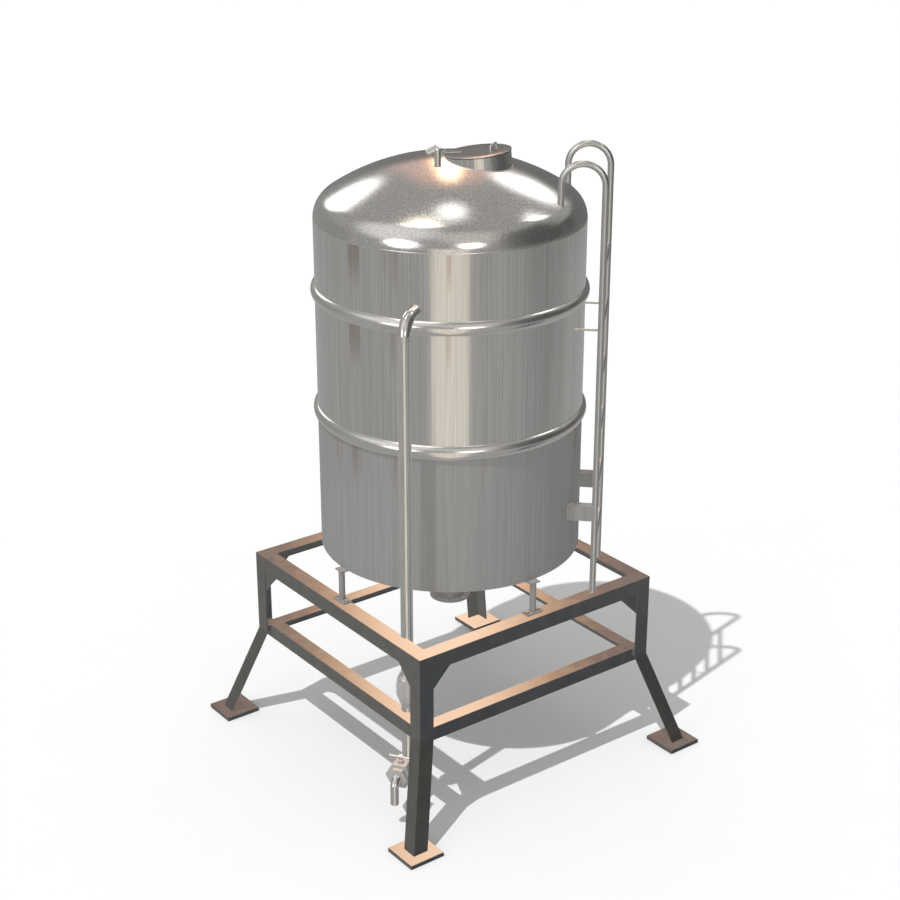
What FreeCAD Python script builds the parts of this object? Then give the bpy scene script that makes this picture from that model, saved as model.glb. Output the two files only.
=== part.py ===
"""Stainless steel tank on a square stand of angle iron, with a ladder, a riser pipe and a tap.

Millimetres, +Z up. The origin is on the floor, under the tank's axis. The front of the stand
faces -Y and its left side faces -X. Each piece is a solid of its own in parts/.
"""
import FreeCAD, Part
import math
import os

from FreeCAD import Vector

# Stand: upper frame, corner posts and their gussets
frame_half = 775.0           # half the outer side of the upper frame
frame_top = 1024.0           # top of the upper frame above the floor
upper_leg = 85.0             # flange width of the upper angle and of the posts
upper_wall = 8.0
gusset_line = 286.0          # from the corner, along rail plus down post, to the gusset's long edge
gusset_thickness = 6.0

# Stand: lower frame, set back inside the posts
lower_leg = 76.0
lower_wall = 7.0
lower_drop = 433.5           # from the upper frame's top down to the lower frame's top
lower_setback = 28.5         # from the posts' outer faces to the lower frame's outer faces
packer_width = 44.0
packer_drop = 2.0            # from the lower frame's top down to the packer's top
toe_share = 0.5              # toe radius of an angle, as a share of its wall
root_share = 1.0             # root radius of an angle, as a share of its wall

# Stand: splayed legs and foot plates
bend_drop = 471.5            # from the upper frame's top down to the bend of the posts
leg_splay = 162.0            # how far a leg runs outwards, in X and in Y
plate_side = 204.0
plate_thickness = 23.0
plate_chamfer = 1.5

# Tank
tank_radius = 700.0          # outside of the shell
tank_wall = 4.0
tank_lift = 184.0            # from the upper frame's top to the shell's lower edge
shell_height = 1793.0
crown_radius = 1150.0        # outside of the top head
knuckle_radius = 149.0
cone_rise = 20.0             # from the shell's lower edge up to the cone's outer edge
cone_angle = 15.0            # degrees below the horizontal
outlet_radius = 80.0         # outside of the bottom outlet
outlet_wall = 4.0
outlet_drop = 171.0          # from the upper frame's top down to the top of the outlet's flange
outlet_flange_radius = 111.0
outlet_flange_thickness = 12.0
outlet_bolt_circle = 97.0    # radius of the circle that the flange's holes lie on
outlet_bolt_count = 8
outlet_hole_radius = 6.0

# Stiffening rings, rolled from a strip of tube
ring_height = 71.0
ring_depth = 22.0
ring_wall = 3.0
lower_ring_rise = 772.0      # from the shell's lower edge to the middle of the ring
upper_ring_rise = 1420.0

# Stub legs between the upper frame and the shell
stub_radius = 16.85
stub_inset = 60.0            # from the upper frame's outer face to the stub's axis
stub_plate_depth = 50.0      # along the radius
stub_plate_width = 104.0
stub_plate_thickness = 8.0
stub_cap_lap = 20.0          # of the cap plate past the stub's axis and past the shell
stub_cap_width = 60.0
stub_bolt_offset = 36.0      # from the stub's axis, along the rail
bolt_radius = 6.0
bolt_hole_clearance = 0.5
bolt_head_radius = 10.5      # across the corners, halved
bolt_head_height = 7.5
bolt_tail = 4.0              # of the bolt below its nut
nut_height = 10.0

# Manway
manway_distance = 148.0      # from the tank's axis to the lid's centre
manway_angle = -55.6         # direction of the lid's centre, degrees
manway_lean = 6.3            # of the collar, towards the tank's axis
manway_rise = 39.8           # of the lid's centre above the head
lid_radius = 167.5
lid_thickness = 5.0
gasket_thickness = 3.0
gasket_width = 9.0
collar_radius = 165.0
collar_wall = 4.0
collar_reach = 160.0         # of the collar's tube before it is cut to the head

# Lid hinge and handle
hinge_offset = 16.0          # from the lid's edge to the hinge pin
hinge_rise = 0.0             # of the pin's axis above the lid's top
hinge_pin_radius = 4.0
hinge_running_clearance = 0.08
hinge_barrel_radius = 7.0
strap_width = 36.0
strap_reach = 105.0          # from the pin along the lid
strap_thickness = 4.0
lug_thickness = 8.0
lug_side_clearance = 0.5
lug_half_length = 7.0
lug_drop = 28.0              # of a lug below the pin's axis, before it is cut to the head
pin_overhang = 4.0
handle_span = 97.0
handle_rise = 29.0           # of the bar's axis above the lid
handle_bar_radius = 6.0
handle_bend_radius = 14.0
handle_offset = 82.0         # from the lid's centre

# Vent
vent_distance = 188.0
vent_angle = 213.9
vent_radius = 16.85
vent_wall = 2.6
vent_rise = 95.0             # of the vent's corner above the head
vent_run = 54.0
vent_fall = 28.0
vent_heading = 143.0
vent_bevel = 14.0            # that the elbow's middle run cuts off both legs, from their corner

# Ladder
ladder_angle = -45.0
ladder_gap = 98.0            # from the shell to the plane of the stiles
ladder_foot_inset = 54.5     # from the upper frame's outer faces to the stiles' axes
stile_radius = 16.85
stile_wall = 3.2
hook_radius = 109.0
hook_rise = 2320.0           # from the upper frame's top to the hooks' axis at the top
rung_radius = 13.45
rung_wall = 2.6
rung_count = 6
rung_spacing = 300.0
first_rung = 288.0           # from the upper frame's top
stay_rise = 1471.0           # of the two thin rods, from the upper frame's top
stay_radius = 6.0
bracket_rise = 463.0         # of the two box brackets, from the upper frame's top
bracket_height = 84.0
bracket_width = 49.0
bracket_wall = 4.0

# Riser pipe and its strainer
riser_gap = 148.0            # from the shell to the riser's axis
riser_angle = 217.9
riser_heading = 212.5        # outwards, degrees
riser_radius = 31.75
riser_wall = 2.0
notch_clearance = 3.25       # around the riser in both left rails
nozzle_rise = 1504.0         # from the shell's lower edge to the nozzle's axis
elbow_radius = 95.0
nozzle_reach = 20.0          # of the nozzle inside the shell
strainer_top = 810.0
strainer_shoulder = 777.0
strainer_waist = 683.0
strainer_bottom = 616.0
strainer_shoulder_radius = 50.0
strainer_waist_radius = 56.0
strainer_wall = 3.0
basket_radius = 27.0
basket_wall = 1.5
basket_bottom = 650.0
basket_rim = 4.0
basket_hole_radius = 5.0
basket_rows = 4
basket_holes = 8

# Tap: a ball valve with a six-sided body on a bend at the riser's foot
tap_height = 264.0           # of the tap's bore above the floor
foot_bend_radius = 63.5      # of the riser's foot
tap_back = 70.0              # from the riser's axis to the body's rear face
tap_joint = 137.0            # from the riser's axis to the joint of body and end cap
tap_front = 160.0            # from the riser's axis to the end cap's face
tap_half = 64.0              # half of the body, across its flats
cap_half = 48.5              # half of the end cap, across its flats
ball_offset = 106.0          # from the riser's axis
ball_radius = 30.0
ball_bore_radius = 18.0
ball_clearance = 1.0
seat_clearance = 0.3
seat_run = 9.0               # of each seat along the bore
stem_radius = 7.0
stem_running_clearance = 0.05
stem_tang_depth = 8.0
stem_tang_width = 7.0
boss_radius = 16.0
boss_height = 20.0
lever_rise = 100.0           # of the lever's rod above the bore
lever_radius = 5.5
lever_half = 61.0            # of the lever, to each side of the stem
lever_hub_radius = 11.0
lever_hub_height = 16.0
spout_radius = 22.3
spout_wall = 2.0
spout_bend_radius = 34.0
spout_end = 133.0            # height of the mouth above the floor

# Below this a straight run of a pipe's path is left out
shortest_run = 0.001

# Places that follow from the sizes
shell_bottom = frame_top + tank_lift
shell_top = shell_bottom + shell_height
tank_inner = tank_radius - tank_wall
lower_top = frame_top - lower_drop
lower_half = frame_half - lower_setback
bend_height = frame_top - bend_drop
stub_centre = frame_half - stub_inset
riser_distance = tank_radius + riser_gap
ladder_distance = tank_radius + ladder_gap
ladder_half_width = math.sqrt(2) * (frame_half - ladder_foot_inset) - ladder_distance
SIDES = ("front", "right", "back", "left")
CORNERS = ("front_left", "front_right", "back_right", "back_left")
UP = Vector(0, 0, 1)
ORIGIN = Vector(0, 0, 0)

os.makedirs("parts", exist_ok=True)


def save(name, shape):
    """Write one piece, or a group of like pieces, to its own file."""
    shape.exportStep("parts/" + name + ".step")


def turned(shape, degrees, centre=ORIGIN, axis=UP):
    copy = shape.copy()
    copy.rotate(centre, axis, degrees)
    return copy


def moved(shape, offset):
    copy = shape.copy()
    copy.translate(offset)
    return copy


def group(shapes):
    return Part.makeCompound(shapes)


def joined(shapes):
    """One solid from overlapping or touching solids."""
    body = shapes[0]
    for other in shapes[1:]:
        body = body.fuse(other)
    return body.removeSplitter()


def box_between(low, high):
    size = high - low
    return Part.makeBox(size.x, size.y, size.z, low)


def cylinder(radius, start, end):
    run = end - start
    return Part.makeCylinder(radius, run.Length, start, run)


def tube(radius, wall, start, end):
    return cylinder(radius, start, end).cut(cylinder(radius - wall, start, end))


def polygon_face(points):
    return Part.Face(Part.makePolygon(list(points) + [points[0]]))


def revolved(points):
    """A ring or a solid of revolution about Z, from (radius, height) points."""
    face = polygon_face([Vector(r, 0, z) for r, z in points])
    return face.revolve(ORIGIN, UP, 360)


def rounded_path(points, radius):
    """A wire of straight runs through the points, with a tangent arc at each inner one."""
    edges = []
    start = points[0]
    for before, corner, after in zip(points, points[1:], points[2:]):
        back = (before - corner).normalize()
        ahead = (after - corner).normalize()
        half_turn = (math.pi - back.getAngle(ahead)) / 2
        trim = radius * math.tan(half_turn)
        first = corner + back * trim
        last = corner + ahead * trim
        inward = (back + ahead).normalize()
        middle = corner + inward * (radius / math.cos(half_turn) - radius)
        if (first - start).Length > shortest_run:
            edges.append(Part.LineSegment(start, first).toShape())
        edges.append(Part.Arc(first, middle, last).toShape())
        start = last
    if (points[-1] - start).Length > shortest_run:
        edges.append(Part.LineSegment(start, points[-1]).toShape())
    return Part.Wire(edges)


def swept_rod(points, bend_radius, radius):
    path = rounded_path(points, bend_radius)
    ring = Part.makeCircle(radius, points[0], points[1] - points[0])
    return path.makePipeShell([Part.Wire(ring)], True, False)


def bent_tube(points, bend_radius, radius, wall):
    outside = swept_rod(points, bend_radius, radius)
    return outside.cut(swept_rod(points, bend_radius, radius - wall))


def mitred_rod(points, radius):
    """A round bar of straight runs, cut where two meet on the plane that halves the turn."""
    headings = [(after - before).normalize() for before, after in zip(points, points[1:])]
    lap = 2 * radius
    waste = 2 * lap
    runs = [cylinder(radius, start - heading * lap, end + heading * lap)
            for start, end, heading in zip(points, points[1:], headings)]
    ends = [headings[0]] + [(one + other).normalize() for one, other in zip(headings, headings[1:])]
    ends.append(headings[-1])
    for number, run in enumerate(runs):
        before, after = points[number], points[number + 1]
        run = run.cut(cylinder(waste, before, before - ends[number] * waste))
        runs[number] = run.cut(cylinder(waste, after, after + ends[number + 1] * waste))
    return joined(runs)


def angle_bar(arris, across, down, along, leg, wall):
    """Hot-rolled angle: its outer edge starts at arris and runs along; the flanges lie
    along the unit vectors across and down, with round toes and a round root."""
    toe = wall * toe_share
    root = wall * root_share

    def at(u, v):
        return arris + across * u + down * v

    def arc(centre, size, u, v):
        """Quarter arc about centre, from its u side to its v side."""
        cu, cv = centre
        mid = size * math.sqrt(0.5)
        return Part.Arc(at(cu + u * size, cv), at(cu + u * mid, cv + v * mid), at(cu, cv + v * size))

    toe_one = arc((leg - toe, wall - toe), toe, 1, 1)
    root_arc = arc((wall + root, wall + root), root, -1, -1)
    toe_two = arc((wall - toe, leg - toe), toe, 1, 1)
    edges = [
        Part.LineSegment(at(0, 0), at(leg, 0)),
        Part.LineSegment(at(leg, 0), at(leg, wall - toe)),
        toe_one,
        Part.LineSegment(at(leg - toe, wall), at(wall + root, wall)),
        root_arc,
        Part.LineSegment(at(wall, wall + root), at(wall, leg - toe)),
        toe_two,
        Part.LineSegment(at(wall - toe, leg), at(0, leg)),
        Part.LineSegment(at(0, leg), at(0, 0)),
    ]
    wires = Part.sortEdges([edge.toShape() for edge in edges])
    return Part.Face(Part.Wire(wires[0])).extrude(along)


def mitred_rail(half, top, leg, wall):
    """The front rail of a square frame, cut at 45 degrees at both ends."""
    arris = Vector(-half, -half, top)
    bar = angle_bar(arris, Vector(0, 1, 0), Vector(0, 0, -1), Vector(2 * half, 0, 0), leg, wall)
    inner = half - leg
    low = top - leg
    outline = polygon_face([Vector(-half, -half, low), Vector(half, -half, low),
                            Vector(inner, -inner, low), Vector(-inner, -inner, low)])
    return bar.common(outline.extrude(UP * leg))


def riser_place(shape):
    """From the riser's own axes, with X outwards, to the tank's."""
    angle = math.radians(riser_angle)
    foot = Vector(riser_distance * math.cos(angle), riser_distance * math.sin(angle), 0)
    return moved(turned(shape, riser_heading), foot)


def ladder_place(shape):
    """From the ladder's own axes, with X away from the tank, to the tank's."""
    return turned(shape, ladder_angle)


def head_height(distance):
    """Height of the head's outside over the floor, at a distance from the axis on its crown."""
    reach = tank_radius - knuckle_radius
    sink = math.sqrt((crown_radius - knuckle_radius) ** 2 - reach ** 2)
    return shell_top - sink + math.sqrt(crown_radius ** 2 - distance ** 2)


def manway_place(shape):
    """From the lid's own axes, with X towards the tank's axis and Z out of the lid."""
    angle = math.radians(manway_angle)
    centre = Vector(manway_distance * math.cos(angle), manway_distance * math.sin(angle),
                    head_height(manway_distance) + manway_rise)
    leant = turned(shape, manway_lean, axis=Vector(0, 1, 0))
    return moved(turned(leant, manway_angle + 180), centre)


def build_stand():
    post_profile_run = bend_height - (frame_top - upper_leg)
    notch_radius = riser_radius + notch_clearance
    notch = riser_place(cylinder(notch_radius, ORIGIN, UP * frame_top))
    upper = mitred_rail(frame_half, frame_top, upper_leg, upper_wall)
    lower = mitred_rail(lower_half, lower_top, lower_leg, lower_wall)
    for side in (-1, 1):
        hole_at = Vector(side * stub_bolt_offset, -stub_centre, frame_top - upper_leg)
        hole = cylinder(bolt_radius + bolt_hole_clearance, hole_at, hole_at + UP * upper_leg)
        upper = upper.cut(hole)
    for number, side in enumerate(SIDES):
        upper_rail = turned(upper, 90 * number)
        lower_rail = turned(lower, 90 * number)
        if side == "left":
            upper_rail = upper_rail.cut(notch)
            lower_rail = lower_rail.cut(notch)
        save("upper_rail_" + side, upper_rail)
        save("lower_rail_" + side, lower_rail)

    across = Vector(1, 0, 0)
    deep = Vector(0, 1, 0)
    post_top = Vector(-frame_half, -frame_half, frame_top - upper_leg)
    post = angle_bar(post_top, across, deep, UP * post_profile_run, upper_leg, upper_wall)
    bend = Vector(-frame_half, -frame_half, bend_height)
    leg_run = Vector(-leg_splay, -leg_splay, plate_thickness - bend_height)
    leg = angle_bar(bend, across, deep, leg_run, upper_leg, upper_wall)
    plate_centre = frame_half + leg_splay - upper_leg / 2
    plate_low = Vector(-plate_centre - plate_side / 2, -plate_centre - plate_side / 2, 0)
    plate = Part.makeBox(plate_side, plate_side, plate_thickness, plate_low)
    plate = plate.makeChamfer(plate_chamfer, plate.Edges)
    for number, corner in enumerate(CORNERS):
        save("corner_post_" + corner, turned(post, 90 * number))
        save("splayed_leg_" + corner, turned(leg, 90 * number))
        save("foot_plate_" + corner, turned(plate, 90 * number))

    save("corner_gussets", group(gusset_plates()))
    save("lower_frame_packers", group(packers()))


def gusset_plates():
    """Two triangles at each corner, lapped inside the flanges of rail and post."""
    first = upper_wall * (1 + root_share)
    reach = gusset_line - 2 * first
    inner = frame_half - upper_wall
    corner = Vector(-frame_half + first, -inner, frame_top - first)
    along = Vector(reach, 0, 0)
    down = Vector(0, 0, -reach)
    front_face = polygon_face([corner, corner + along, corner + down])
    front = front_face.extrude(Vector(0, gusset_thickness, 0))
    side = front.mirror(ORIGIN, Vector(1, -1, 0))
    plates = []
    for number in range(4):
        plates.append(turned(front, 90 * number))
        plates.append(turned(side, 90 * number))
    return plates


def packers():
    """Flat blocks that fill the gap between the lower frame and each post's flanges."""
    inner = frame_half - upper_wall
    low = Vector(-lower_half + lower_wall, -inner, bend_height)
    high = Vector(low.x + packer_width, -lower_half, lower_top - packer_drop)
    front = box_between(low, high)
    side = front.mirror(ORIGIN, Vector(1, -1, 0))
    blocks = []
    for number in range(4):
        blocks.append(turned(front, 90 * number))
        blocks.append(turned(side, 90 * number))
    return blocks


def head_arcs(thinner):
    """The crown and knuckle arcs of the top head, inset by thinner, with their end points."""
    crown = crown_radius - thinner
    knuckle = knuckle_radius - thinner
    reach = tank_radius - knuckle_radius
    spread = crown_radius - knuckle_radius
    sink = math.sqrt(spread ** 2 - reach ** 2)
    crown_centre = Vector(0, 0, shell_top - sink)
    knuckle_centre = Vector(reach, 0, shell_top)
    angle = math.asin(reach / spread)

    def on(centre, size, turn):
        return centre + Vector(size * math.sin(turn), 0, size * math.cos(turn))

    apex = on(crown_centre, crown, 0)
    joint = on(crown_centre, crown, angle)
    edge = on(knuckle_centre, knuckle, math.pi / 2)
    crown_arc = Part.Arc(apex, on(crown_centre, crown, angle / 2), joint).toShape()
    middle = on(knuckle_centre, knuckle, (angle + math.pi / 2) / 2)
    knuckle_arc = Part.Arc(joint, middle, edge).toShape()
    return apex, edge, crown_arc, knuckle_arc


def filled_head():
    apex, edge, crown_arc, knuckle_arc = head_arcs(0)
    base = Vector(0, 0, shell_top)
    wire = Part.Wire([crown_arc, knuckle_arc, Part.LineSegment(edge, base).toShape(),
                      Part.LineSegment(base, apex).toShape()])
    return Part.Face(wire).revolve(ORIGIN, UP, 360)


def tank_envelope():
    """Everything inside the tank's outer surface, to cut other pieces to it."""
    body = cylinder(tank_radius, UP * shell_bottom, UP * shell_top)
    return body.fuse(filled_head())


def build_shell():
    shell = tube(tank_radius, tank_wall, UP * shell_bottom, UP * shell_top)
    nozzle = riser_place(nozzle_bar(riser_radius))
    save("tank_shell", shell.cut(nozzle))

    apex, edge, crown_arc, knuckle_arc = head_arcs(0)
    low_apex, low_edge, low_crown, low_knuckle = head_arcs(tank_wall)
    section = Part.Wire([crown_arc, knuckle_arc, Part.LineSegment(edge, low_edge).toShape(),
                         low_knuckle, low_crown, Part.LineSegment(low_apex, apex).toShape()])
    head = Part.Face(section).revolve(ORIGIN, UP, 360)
    opening = manway_place(cylinder(collar_radius - collar_wall, UP * -collar_reach, ORIGIN))
    vent_hole = vent_bar(vent_radius - vent_wall)
    save("top_head", head.cut(opening).cut(vent_hole))

    slope = math.tan(math.radians(cone_angle))
    cone_top = shell_bottom + cone_rise
    cone_depth = tank_wall / math.cos(math.radians(cone_angle))
    bore = outlet_radius - outlet_wall

    def cone_low(radius):
        return cone_top - (tank_inner - radius) * slope

    cone = revolved([(tank_inner, cone_low(tank_inner)), (tank_inner, cone_top + cone_depth),
                     (bore, cone_low(bore) + cone_depth), (bore, cone_low(bore))])
    save("bottom_cone", cone)
    flange_top = frame_top - outlet_drop
    flange_bottom = flange_top - outlet_flange_thickness
    neck = revolved([(bore, flange_bottom), (outlet_radius, flange_bottom),
                     (outlet_radius, cone_low(outlet_radius)), (bore, cone_low(bore))])
    save("outlet_neck", neck)
    flange = revolved([(outlet_radius, flange_bottom), (outlet_flange_radius, flange_bottom),
                       (outlet_flange_radius, flange_top), (outlet_radius, flange_top)])
    for number in range(outlet_bolt_count):
        angle = 2 * math.pi * number / outlet_bolt_count
        hole_at = Vector(outlet_bolt_circle * math.cos(angle), outlet_bolt_circle * math.sin(angle),
                         flange_bottom)
        flange = flange.cut(cylinder(outlet_hole_radius, hole_at, hole_at + UP * outlet_flange_thickness))
    save("outlet_flange", flange)

    save("lower_stiffening_ring", stiffening_ring(shell_bottom + lower_ring_rise))
    save("upper_stiffening_ring", stiffening_ring(shell_bottom + upper_ring_rise))


def stiffening_ring(height):
    """A strip of tube wall with its edges on the shell: an arc of depth and height."""
    half = ring_height / 2
    curve = (half ** 2 + ring_depth ** 2) / (2 * ring_depth)
    centre = tank_radius + ring_depth - curve

    def arc(size):
        rise = math.sqrt(size ** 2 - (tank_radius - centre) ** 2)
        top = Vector(tank_radius, 0, height + rise)
        low = Vector(tank_radius, 0, height - rise)
        return top, low, Part.Arc(top, Vector(centre + size, 0, height), low).toShape()

    top, low, outside = arc(curve)
    inner_top, inner_low, inside = arc(curve - ring_wall)
    section = Part.Wire([outside, Part.LineSegment(low, inner_low).toShape(), inside,
                         Part.LineSegment(inner_top, top).toShape()])
    return Part.Face(section).revolve(ORIGIN, UP, 360)


def build_stub_legs():
    plate_top = frame_top + stub_plate_thickness
    cap_low = shell_bottom - stub_plate_thickness
    half_depth = stub_plate_depth / 2
    base = box_between(Vector(-stub_plate_width / 2, -stub_centre - half_depth, frame_top),
                       Vector(stub_plate_width / 2, -stub_centre + half_depth, plate_top))
    grip = bolt_radius + bolt_hole_clearance
    for side in (-1, 1):
        hole_at = Vector(side * stub_bolt_offset, -stub_centre, frame_top)
        base = base.cut(cylinder(grip, hole_at, hole_at + UP * stub_plate_thickness))
    column = cylinder(stub_radius, Vector(0, -stub_centre, plate_top), Vector(0, -stub_centre, cap_low))
    cap_outer = max(stub_centre, tank_radius) + stub_cap_lap
    cap_inner = min(stub_centre, tank_radius) - stub_cap_lap
    cap = box_between(Vector(-stub_cap_width / 2, -cap_outer, cap_low),
                      Vector(stub_cap_width / 2, -cap_inner, shell_bottom))
    leg = joined([base, column, cap])
    fasteners = []
    for number, side in enumerate(SIDES):
        save("tank_leg_" + side, turned(leg, 90 * number))
        for hand in (-1, 1):
            place = Vector(hand * stub_bolt_offset, -stub_centre, 0)
            for piece in bolt_and_nut():
                fasteners.append(turned(moved(piece, place), 90 * number))
    save("tank_leg_bolts", group(fasteners))


def hexagon(radius, low, height):
    points = [Vector(radius * math.cos(math.radians(60 * i)), radius * math.sin(math.radians(60 * i)), low)
              for i in range(6)]
    return polygon_face(points).extrude(UP * height)


def bolt_and_nut():
    """A bolt down through base plate and rail, with its nut under the rail's flange."""
    head_low = frame_top + stub_plate_thickness
    nut_top = frame_top - upper_wall
    nut_low = nut_top - nut_height
    head = hexagon(bolt_head_radius, head_low, bolt_head_height)
    shank = cylinder(bolt_radius, UP * (nut_low - bolt_tail), UP * head_low)
    nut = hexagon(bolt_head_radius, nut_low, nut_height)
    return [joined([head, shank]), nut.cut(cylinder(bolt_radius, UP * nut_low, UP * nut_top))]


def build_manway(envelope):
    collar_top = -lid_thickness - gasket_thickness
    collar = tube(collar_radius, collar_wall, UP * (collar_top - collar_reach), UP * collar_top)
    save("manway_collar", manway_place(collar).cut(envelope))
    lid = cylinder(lid_radius, UP * -lid_thickness, ORIGIN)
    save("manway_lid", manway_place(lid))
    middle = collar_radius - collar_wall / 2
    gasket = tube(middle + gasket_width / 2, gasket_width, UP * collar_top, UP * -lid_thickness)
    save("lid_gasket", manway_place(gasket))

    pin_x = lid_radius + hinge_offset
    pin_at = Vector(pin_x, 0, hinge_rise)
    half_strap = strap_width / 2
    side = Vector(0, 1, 0)
    strap = box_between(Vector(pin_x - strap_reach, -half_strap, 0),
                        Vector(pin_x, half_strap, strap_thickness))
    barrel = cylinder(hinge_barrel_radius, pin_at - side * half_strap, pin_at + side * half_strap)
    bore = cylinder(hinge_pin_radius + hinge_running_clearance,
                    pin_at - side * strap_width, pin_at + side * strap_width)
    save("lid_hinge_strap", manway_place(joined([strap, barrel]).cut(bore)))

    lug_start = half_strap + lug_side_clearance
    lug_low = -lug_drop
    lug = box_between(Vector(pin_x - lug_half_length, lug_start, lug_low),
                      Vector(pin_x + lug_half_length, lug_start + lug_thickness, hinge_rise))
    lug_end = cylinder(lug_half_length, pin_at + side * lug_start,
                       pin_at + side * (lug_start + lug_thickness))
    pin_half = lug_start + lug_thickness + pin_overhang
    pin = cylinder(hinge_pin_radius, pin_at - side * pin_half, pin_at + side * pin_half)
    right = joined([lug, lug_end]).cut(pin)
    left = right.mirror(ORIGIN, side)
    lugs = [manway_place(piece).cut(envelope) for piece in (left, right)]
    save("hinge_lugs", group(lugs))
    save("hinge_pin", manway_place(pin))

    half_span = handle_span / 2
    route = [Vector(-handle_offset, -half_span, 0), Vector(-handle_offset, -half_span, handle_rise),
             Vector(-handle_offset, half_span, handle_rise), Vector(-handle_offset, half_span, 0)]
    save("lid_handle", manway_place(swept_rod(route, handle_bend_radius, handle_bar_radius)))


def vent_foot():
    angle = math.radians(vent_angle)
    return Vector(vent_distance * math.cos(angle), vent_distance * math.sin(angle), shell_top)


def vent_corner():
    foot = vent_foot()
    return Vector(foot.x, foot.y, head_height(vent_distance) + vent_rise)


def vent_bar(radius):
    """The upright of the vent as a plain bar, from inside the tank."""
    return cylinder(radius, vent_foot(), vent_corner())


def build_vent(envelope):
    corner = vent_corner()
    heading = math.radians(vent_heading)
    mouth = corner + Vector(vent_run * math.cos(heading), vent_run * math.sin(heading), -vent_fall)
    bevel_start = corner - UP * vent_bevel
    bevel_end = corner + (mouth - corner).normalize() * vent_bevel
    route = [vent_foot(), bevel_start, bevel_end, mouth]
    pipe = mitred_rod(route, vent_radius).cut(mitred_rod(route, vent_radius - vent_wall))
    save("vent_pipe", pipe.cut(envelope))


def build_ladder(envelope):
    top = frame_top + hook_rise
    stiles = []
    for name, side in (("front", -1), ("back", 1)):
        y = side * ladder_half_width
        hook_x = ladder_distance - 2 * hook_radius
        route = [Vector(ladder_distance, y, frame_top), Vector(ladder_distance, y, top),
                 Vector(hook_x, y, top), Vector(hook_x, y, shell_top)]
        stile = bent_tube(route, hook_radius, stile_radius, stile_wall)
        save("ladder_stile_" + name, ladder_place(stile).cut(envelope))
        stiles.append(cylinder(stile_radius, route[0], route[1]))
    both = stiles[0].fuse(stiles[1])

    rungs = []
    for number in range(rung_count):
        height = frame_top + first_rung + number * rung_spacing
        start = Vector(ladder_distance, -ladder_half_width, height)
        rung = tube(rung_radius, rung_wall, start, start + Vector(0, 2 * ladder_half_width, 0))
        rungs.append(ladder_place(longest(rung.cut(both))))
    save("ladder_rungs", group(rungs))

    stays = []
    brackets = []
    inwards = Vector(-ladder_distance / 2, 0, 0)
    for side in (-1, 1):
        start = Vector(ladder_distance, side * ladder_half_width, frame_top + stay_rise)
        stay = cylinder(stay_radius, start, start + inwards).cut(both)
        stays.append(longest(ladder_place(stay).cut(envelope)))
        bracket = box_bracket(side * ladder_half_width).cut(both)
        brackets.append(longest(ladder_place(bracket).cut(envelope)))
    save("ladder_stay_rods", group(stays))
    save("ladder_brackets", group(brackets))


def longest(shape):
    """The largest solid of a shape, without the slivers that a cut leaves."""
    return max(shape.Solids, key=lambda solid: solid.Volume)


def box_bracket(y):
    """Box section from the shell to a stile, closed at its outer end and open to the shell."""
    outer_x = ladder_distance
    inner_x = ladder_distance / 2
    half = bracket_width / 2
    low = frame_top + bracket_rise - bracket_height / 2
    high = low + bracket_height
    outside = box_between(Vector(inner_x, y - half, low), Vector(outer_x, y + half, high))
    inside = box_between(
        Vector(inner_x, y - half + bracket_wall, low + bracket_wall),
        Vector(outer_x - bracket_wall, y + half - bracket_wall, high - bracket_wall))
    return outside.cut(inside)


def shell_gap():
    """From the riser's axis, inwards along its heading, to the shell's inner face."""
    turn = math.radians(riser_heading - riser_angle)
    forward = riser_distance * math.cos(turn)
    sideways = riser_distance * math.sin(turn)
    return forward - math.sqrt(tank_inner ** 2 - sideways ** 2)


def nozzle_bar(radius):
    height = shell_bottom + nozzle_rise
    return cylinder(radius, Vector(0, 0, height), Vector(-shell_gap() - nozzle_reach, 0, height))


def build_riser():
    height = shell_bottom + nozzle_rise
    end = Vector(-shell_gap() - nozzle_reach, 0, height)
    elbow_low = height - elbow_radius
    elbow = bent_tube([UP * (elbow_low - riser_wall), UP * height, end],
                      elbow_radius, riser_radius, riser_wall)
    save("riser_elbow", riser_place(elbow))
    upper = tube(riser_radius, riser_wall, UP * strainer_top, UP * (elbow_low - riser_wall))
    save("riser_pipe_upper", riser_place(upper))
    foot = bent_tube([UP * strainer_bottom, UP * tap_height, Vector(tap_back, 0, tap_height)],
                     foot_bend_radius, riser_radius, riser_wall)
    save("riser_pipe_lower", riser_place(foot))

    bore = riser_radius - riser_wall
    cap = revolved([(riser_radius, strainer_top), (strainer_shoulder_radius, strainer_shoulder),
                    (strainer_shoulder_radius - strainer_wall, strainer_shoulder),
                    (bore, strainer_top)])
    save("strainer_cap", riser_place(cap))
    body = revolved([(strainer_shoulder_radius, strainer_shoulder),
                     (strainer_waist_radius, strainer_waist), (riser_radius, strainer_bottom),
                     (bore, strainer_bottom), (strainer_waist_radius - strainer_wall, strainer_waist),
                     (strainer_shoulder_radius - strainer_wall, strainer_shoulder)])
    save("strainer_body", riser_place(body))
    save("strainer_basket", riser_place(strainer_basket()))


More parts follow.
